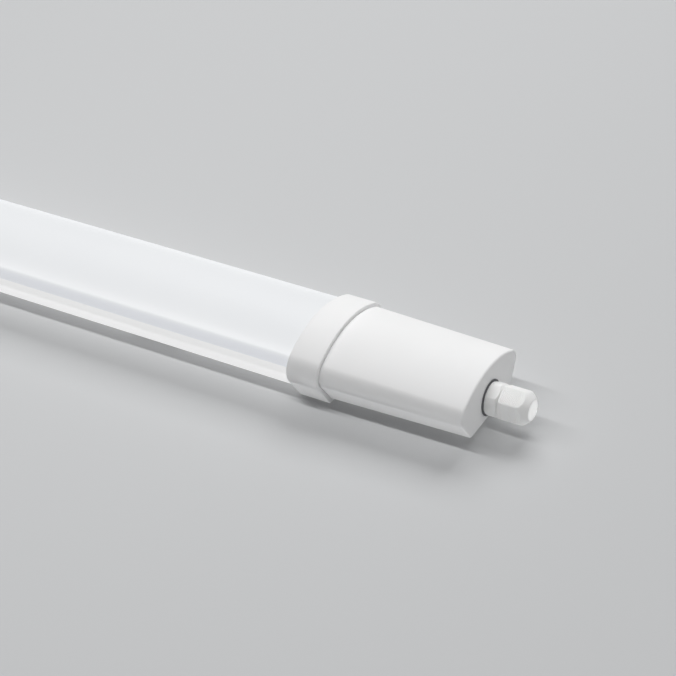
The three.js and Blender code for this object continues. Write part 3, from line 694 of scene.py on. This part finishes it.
def housing_channel():
    inner = TUBE_OFFSET - HOUSING_WALL
    back = BACK_Z - TUBE_OFFSET
    slot_floor = back + SLOT_LIP
    slot_top = slot_floor + SLOT_HEIGHT
    rim = SEAM_Z - SEAM_GAP
    outer_rim = shoulder_angle(rim, TUBE_OFFSET)
    inner_rim = shoulder_angle(rim, inner)
    open_sheet("housing_channel")
    pen_down(-TUBE_X, *shoulder_point(outer_rim, TUBE_OFFSET))
    pen_arc(SHOULDER_Y, SHOULDER_Z, outer_rim - CREASE_ANGLE, SHOULDER_STEPS)
    draw_foot(TUBE_OFFSET)
    pen_line(SLOT_MOUTH, back)
    pen_line(SLOT_MOUTH, slot_floor)
    pen_line(SLOT_HALF, slot_floor)
    pen_line(SLOT_HALF, slot_top)
    pen_line(0, slot_top)
    pen_line(0, slot_top + SLOT_WALL)
    pen_line(SLOT_HALF + SLOT_WALL, slot_top + SLOT_WALL)
    pen_line(SLOT_HALF + SLOT_WALL, BACK_Z - inner)
    pen_line(foot_y(inner), BACK_Z - inner)
    pen_line(*shoulder_point(CREASE_ANGLE, inner))
    pen_arc(SHOULDER_Y, SHOULDER_Z, CREASE_ANGLE - inner_rim, SHOULDER_STEPS)
    pen_line(*shoulder_point(outer_rim, TUBE_OFFSET))
    return extrude_outline(TUBE_X)


channel = housing_channel()
mirror_half(channel)
shade(channel, lengthwise_creases=True)
channel.data.materials.append(HOUSING_WHITE)
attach(channel, "luminaire")
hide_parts("housing")
print("housing", len(channel.data.polygons), "faces")

# %% [markdown]
# ## Collars and caps
# Collar and cap are hollow mouldings of the same section, so each is a loft: half sections at
# stations along X, bridged one to the next, round the outside and back through the inside.
# The rounded edges are stations too, set on a quarter circle. The cap narrows evenly all round
# towards its end face, as a moulding must so that it draws off its core.

# %% Loft
EDGE_STEPS = 5


def loft(name, stations):
    """Bridges half sections into a closed ring. A station is a section, a collar section,
    which sits a little lower, or a half circle about the gland's axis."""
    open_sheet(name)
    for kind, x, size in stations:
        if kind == "section":
            draw_section(x, size)
        elif kind == "collar":
            draw_section(x, size, COLLAR_DROP)
        else:
            draw_half_circle(x, size, GLAND_Z)
    piece = close_sheet()
    bridge(piece, len(stations), closed=True)
    return piece


def rounded_edge(kind, x, offset, radius, start, end):
    """Stations on a quarter circle about (x, offset); angles are from +X towards outward."""
    stations = []
    for i in range(EDGE_STEPS + 1):
        angle = math.radians(start + (end - start) * i / EDGE_STEPS)
        stations.append((kind, x + radius * math.cos(angle), offset + radius * math.sin(angle)))
    return stations


def dress_end(piece, part_name, node, body, material, creases=True):
    """Finishes a piece of the +X end, then copies it to the other end."""
    shade(piece, lengthwise_creases=creases)
    piece.name = f"{part_name}_a"
    piece.data.materials.append(material)
    twin = far_copy(piece, f"{part_name}_b")
    for letter, copy in (("a", piece), ("b", twin)):
        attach(copy, body.format(letter))
        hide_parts(node.format(letter))


# %% Collars
COLLAR_OFFSET = 2.25
COLLAR_DROP = 0.2
COLLAR_BORE = -0.4
COLLAR_BACK_EDGE = 1.1
COLLAR_STEP_EDGE = 0.5
COLLAR_BORE_EDGE = 0.15

back_rim = COLLAR_OFFSET - COLLAR_BACK_EDGE
step_rim = COLLAR_OFFSET - COLLAR_STEP_EDGE
collar_stations = [
    *rounded_edge("collar", COLLAR_X[0] + COLLAR_BACK_EDGE, back_rim, COLLAR_BACK_EDGE, 180, 90),
    *rounded_edge("collar", COLLAR_X[1] - COLLAR_STEP_EDGE, step_rim, COLLAR_STEP_EDGE, 90, 0),
    ("section", COLLAR_X[1], COLLAR_BORE + COLLAR_BORE_EDGE),
    ("section", COLLAR_X[1] - COLLAR_BORE_EDGE, COLLAR_BORE),
    ("section", COLLAR_X[0] + COLLAR_BORE_EDGE, COLLAR_BORE),
    ("section", COLLAR_X[0], COLLAR_BORE + COLLAR_BORE_EDGE),
]
collar = loft("collar", collar_stations)
mirror_half(collar)
dress_end(collar, "collar", "end_collar_{}", "luminaire", CAP_WHITE)
print("collar", len(collar.data.polygons), "faces")

# %% Caps
CAP_TAPER = 1.75
CAP_EDGE = 1.1
ROOT_EDGE = 0.15
SPIGOT_OFFSET = -1.0
CAVITY_OFFSET = -3.2
END_WALL = 3.0
GLAND_HOLE = 6.2
ROOT_X = STEP_X + 0.1


def barrel_offset(x):
    """How far the barrel's outline has drawn in at x."""
    return -CAP_TAPER * (x - ROOT_X) / (END_X - ROOT_X)


cap_rim = barrel_offset(END_X - CAP_EDGE) - CAP_EDGE
cap_stations = [
    ("section", SPIGOT_X, CAVITY_OFFSET),
    ("section", SPIGOT_X, SPIGOT_OFFSET - ROOT_EDGE),
    ("section", SPIGOT_X + ROOT_EDGE, SPIGOT_OFFSET),
    ("section", ROOT_X, SPIGOT_OFFSET),
    ("section", ROOT_X, -ROOT_EDGE),
    ("section", ROOT_X + ROOT_EDGE, barrel_offset(ROOT_X + ROOT_EDGE)),
    *rounded_edge("section", END_X - CAP_EDGE, cap_rim, CAP_EDGE, 90, 0),
    ("circle", END_X, GLAND_HOLE),
    ("circle", END_X - END_WALL, GLAND_HOLE),
    ("section", END_X - END_WALL, CAVITY_OFFSET),
]
cap = loft("end_cap", cap_stations)
mirror_half(cap)
dress_end(cap, "cap", "end_cap_{}", "end_cap_{}", CAP_WHITE)
print("cap", len(cap.data.polygons), "faces")

# %% [markdown]
# ## Cable gland
# The gland is turned and hexagonal: a body whose flange sits on a rubber washer, and a dome nut
# that squeezes a seal round the cable. The hexagonal parts start as a six-sided disc with its
# corners rounded, extruded and pinched in again and again for the fine ribs across the flats.
# A boolean with a spun shape then rounds the nose, as a lathe would.

# %% Spun solids and booleans
SPIN_STEPS = 72


def spun(name, profile):
    """A solid of revolution about the gland's axis, from [x, radius] points."""
    open_sheet(name)
    x, radius = profile[0]
    pen_down(x, 0, GLAND_Z + radius)
    for x, radius in profile[1:]:
        pen_line(0, GLAND_Z + radius, x=x)
    bpy.ops.mesh.select_all(action="SELECT")
    centre = (0, 0, GLAND_Z * MM)
    bpy.ops.mesh.spin(steps=SPIN_STEPS, angle=2 * math.pi, center=centre, axis=(1, 0, 0))
    piece = close_sheet()
    tidy(piece)
    return piece


def combine(piece, tool, operation):
    """Cuts or keeps a piece by another, which is then thrown away."""
    apply_modifier(piece, "BOOLEAN", object=tool, operation=operation, solver="EXACT")
    bpy.data.objects.remove(tool)


def ring_profile(x0, x1, outer, inner, edge):
    """A ring's section with its two outer edges rounded by two facets each."""
    soft = edge * 0.3
    return [
        (x0, inner), (x0, outer - edge), (x0 + soft, outer - soft), (x0 + edge, outer),
        (x1 - edge, outer), (x1 - soft, outer - soft), (x1, outer - edge), (x1, inner), (x0, inner),
    ]


# %% Hexagonal bars
HEX_TURN = math.radians(26.5)
CORNER_SEGMENTS = 4


def hexagon(name, x, flats, corner_round):
    """A six-sided disc facing along X, left in edit mode with its face selected."""
    bpy.ops.object.select_all(action="DESELECT")
    bpy.ops.mesh.primitive_circle_add(
        vertices=6, radius=flats / 2 / math.cos(math.pi / 6) * MM, fill_type="NGON",
        location=(x * MM, 0, GLAND_Z * MM),
    )
    piece = bpy.context.object
    piece.name = name
    facing = Matrix.Rotation(HEX_TURN, 3, "X") @ Matrix.Rotation(math.pi / 2, 3, "Y")
    piece.rotation_euler = facing.to_euler()
    bpy.ops.object.transform_apply(location=True, rotation=True, scale=True)
    bpy.ops.object.mode_set(mode="EDIT")
    bpy.ops.mesh.select_all(action="SELECT")
    bpy.ops.mesh.bevel(offset=corner_round * MM, segments=CORNER_SEGMENTS, affect="VERTICES")
    bpy.ops.mesh.select_all(action="SELECT")
    return piece


def push(x_from, x_to, scale=1.0):
    """Extrudes the selected face along X and scales it about the gland's axis."""
    bpy.ops.mesh.extrude_region_move(TRANSFORM_OT_translate={"value": ((x_to - x_from) * MM, 0, 0)})
    centre = (x_to * MM, 0, GLAND_Z * MM)
    bpy.ops.transform.resize(value=(1, scale, scale), center_override=centre)


# %% Gland body
BODY_X = (END_X + 0.7, END_X + 7.3)
BODY_FLATS = 16.6
BODY_ROUND = 8.95
BODY_CORNER = 0.7
CHAMFER = 0.35
THREAD_RADIUS = 6.0
THREAD_X = END_X - 9
CLAW_RADIUS = 6.6
CLAW_X = END_X + 16
CLAW_LEAD_IN = 1.5
GLAND_BORE = 4.4
# The lathe shapes run this far past the hexagonal bars, so that no two faces coincide.
OVERRUN = 1

body = hexagon("gland_body", BODY_X[0], BODY_FLATS, BODY_CORNER)
push(BODY_X[0], BODY_X[1])
close_sheet()
tidy(body)
half_flats = BODY_FLATS / 2
body_tool = spun("body_tool", [
    (BODY_X[0] - OVERRUN, 0), (BODY_X[0] - OVERRUN, half_flats + 0.2), (BODY_X[0], half_flats + 0.2),
    (BODY_X[0] + 0.9, BODY_ROUND - 0.15), (BODY_X[0] + 1.6, BODY_ROUND), (BODY_X[1] - 0.9, BODY_ROUND),
    (BODY_X[1] - CHAMFER, half_flats), (BODY_X[1], half_flats - CHAMFER),
    (BODY_X[1] + OVERRUN, half_flats - CHAMFER), (BODY_X[1] + OVERRUN, 0),
])
combine(body, body_tool, "INTERSECT")
thread_tool = spun("thread_tool", [
    (THREAD_X, 0), (THREAD_X, THREAD_RADIUS), (BODY_X[0] + OVERRUN, THREAD_RADIUS),
    (BODY_X[0] + OVERRUN, CLAW_RADIUS), (CLAW_X - CLAW_LEAD_IN, CLAW_RADIUS),
    (CLAW_X, CLAW_RADIUS - 0.8), (CLAW_X, 0),
])
combine(body, thread_tool, "UNION")
bore_tool = spun("bore_tool", [
    (THREAD_X - OVERRUN, 0), (THREAD_X - OVERRUN, GLAND_BORE),
    (CLAW_X + OVERRUN, GLAND_BORE), (CLAW_X + OVERRUN, 0),
])
combine(body, bore_tool, "DIFFERENCE")
tidy(body)
dress_end(body, "gland_body", "gland_body_{}", "end_cap_{}", NYLON, creases=False)
print("gland body", len(body.data.polygons), "faces")

# %% Washer
WASHER_RADIUS = 9.5
WASHER_THICKNESS = 0.6
WASHER_GAP = 0.1
WASHER_EDGE = 0.2
washer_x = (END_X + WASHER_GAP, END_X + WASHER_THICKNESS)
washer_section = ring_profile(*washer_x, WASHER_RADIUS, GLAND_HOLE, WASHER_EDGE)
washer = spun("gland_washer", washer_section)
dress_end(washer, "gland_washer", "gland_washer_{}", "end_cap_{}", EPDM, creases=False)

# %% Dome nut
NUT_X = (END_X + 7.5, END_X + 23.3)
NUT_FLATS = 16.7
NUT_SHOULDER = END_X + 19.3
RIB_PITCH = 0.95
RIB_DEPTH = 0.16
RIB_COUNT = 11
RIB_LAND = 0.40 * RIB_PITCH
GROOVE_IN = 0.65 * RIB_PITCH
GROOVE_OUT = 0.75 * RIB_PITCH
NOSE_RADIUS = 5.7
MOUTH_RADIUS = 5.2
NUT_BORE = 6.9
NUT_CORNER = 0.6

nut = hexagon("gland_nut", NUT_X[0], NUT_FLATS, NUT_CORNER)
half_flats = NUT_FLATS / 2
pinch = (half_flats - RIB_DEPTH) / half_flats
x = NUT_X[0]
push(x, x + RIB_PITCH)
x += RIB_PITCH
for i in range(RIB_COUNT):
    push(x, x + RIB_LAND)
    push(x + RIB_LAND, x + GROOVE_IN, pinch)
    push(x + GROOVE_IN, x + GROOVE_OUT)
    push(x + GROOVE_OUT, x + RIB_PITCH, 1 / pinch)
    x += RIB_PITCH
push(x, NUT_X[1])
close_sheet()
tidy(nut)
nut_corner = half_flats / math.cos(math.pi / 6)
nose_tool = spun("nose_tool", [
    (NUT_X[0] - OVERRUN, 0), (NUT_X[0] - OVERRUN, half_flats - CHAMFER), (NUT_X[0], half_flats - CHAMFER),
    (NUT_X[0] + CHAMFER, half_flats), (NUT_X[0] + 0.9, nut_corner + 0.1),
    (NUT_SHOULDER - 2.4, nut_corner + 0.1),
    (NUT_SHOULDER - 1.2, nut_corner - 0.25), (NUT_SHOULDER, half_flats + 0.65),
    (NUT_SHOULDER + 1.0, half_flats + 0.1), (NUT_SHOULDER + 1.9, half_flats - 0.6),
    (NUT_SHOULDER + 2.7, half_flats - 1.35), (NUT_X[1] - 0.5, NOSE_RADIUS + 0.6),
    (NUT_X[1] - 0.15, NOSE_RADIUS + 0.2), (NUT_X[1], NOSE_RADIUS), (NUT_X[1], 0),
])
combine(nut, nose_tool, "INTERSECT")
nut_bore_tool = spun("nut_bore_tool", [
    (NUT_X[0] - OVERRUN, 0), (NUT_X[0] - OVERRUN, NUT_BORE), (CLAW_X + 1, NUT_BORE),
    (CLAW_X + 3.4, MOUTH_RADIUS), (NUT_X[1] + OVERRUN, MOUTH_RADIUS), (NUT_X[1] + OVERRUN, 0),
])
combine(nut, nut_bore_tool, "DIFFERENCE")
tidy(nut)
dress_end(nut, "gland_nut", "gland_nut_{}", "gland_nut_{}", NYLON, creases=False)
print("dome nut", len(nut.data.polygons), "faces")

# %% Blanking plug
PLUG_RADIUS = 5.15
PLUG_SHANK = 2.5
PLUG_HEAD = 1.6
PLUG_LEAD_IN = 0.3
PLUG_EDGE = 0.1
plug_x = (END_X + 9.3, NUT_X[1])
plug = spun("gland_plug", [
    (plug_x[0], 0), (plug_x[0], PLUG_SHANK - PLUG_LEAD_IN), (plug_x[0] + PLUG_LEAD_IN, PLUG_SHANK),
    (plug_x[1] - PLUG_HEAD, PLUG_SHANK), (plug_x[1] - PLUG_HEAD, PLUG_RADIUS),
    (plug_x[1] - PLUG_EDGE, PLUG_RADIUS), (plug_x[1], PLUG_RADIUS - PLUG_EDGE),
    (plug_x[1], 0),
])
dress_end(plug, "gland_plug", "gland_plug_{}", "gland_insert_{}", PLUG_SILICONE, creases=False)

# %% [markdown]
# ## The gear inside
# These show only when a cap is drawn off. Their CAD shapes are right, but their edges are knife
# sharp. A copy of each is merged, its flat faces are rejoined, and its edges get a small bevel,
# as folded sheet, moulded blocks and turned screws all have.


# %% Soften copies of the CAD solids
def soften(node, body, material, edge_mm):
    """A finished copy of a CAD solid, its edges bevelled by edge_mm; 0 leaves them sharp."""
    source = nodes[node]
    piece = source.copy()
    piece.data = source.data.copy()
    piece.data.materials.clear()
    piece.parent = None
    piece.name = f"{node}_finished"
    bpy.context.collection.objects.link(piece)
    tidy(piece)
    apply_modifier(piece, "DECIMATE", decimate_type="DISSOLVE", angle_limit=math.radians(1))
    if edge_mm:
        apply_modifier(
            piece, "BEVEL", width=edge_mm * MM, segments=2, limit_method="ANGLE", angle_limit=EDGE_LIMIT,
        )
    shade(piece)
    piece.data.materials.append(material)
    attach(piece, body)
    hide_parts(node)
    return piece


INNER = [
    ("gear_tray", ALUMINIUM, "aluminium", 0.15),
    ("led_board", BOARD_WHITE, "board_white", 0.0),
    ("driver_base", HOUSING_WHITE, "white_housing", 0.2),
    ("driver_lid", HOUSING_WHITE, "white_housing", 0.2),
    ("terminal_block", NYLON, "white_nylon", 0.25),
    ("earth_tag", ZINC, "zinc_steel", 0.1),
    ("earth_screw", ZINC, "zinc_steel", 0.2),
]
for node, material, slot, edge in INNER:
    soften(node, "luminaire", material, edge)
for letter in "ab":
    soften(f"mounting_clip_{letter}", f"mounting_clip_{letter}", STAINLESS, 0.25)
print("softened", len(INNER) + 2, "pieces")

# %% Finishes on the CAD solids that stay
STAYING = {
    "driver_board": BOARD_GREEN,
    "driver_screw_in": ZINC,
    "driver_screw_out": ZINC,
    "terminal_screw_l": ZINC,
    "terminal_screw_n": ZINC,
    "terminal_screw_e": ZINC,
    **LEADS,
}
for letter in "ab":
    STAYING[f"cap_gasket_{letter}"] = SILICONE
    STAYING[f"gland_locknut_{letter}"] = NYLON
    STAYING[f"gland_seal_{letter}"] = EPDM
for node, material in STAYING.items():
    for place in nodes[node].material_slots:
        place.material = material
print("finished", len(STAYING), "CAD nodes in place")
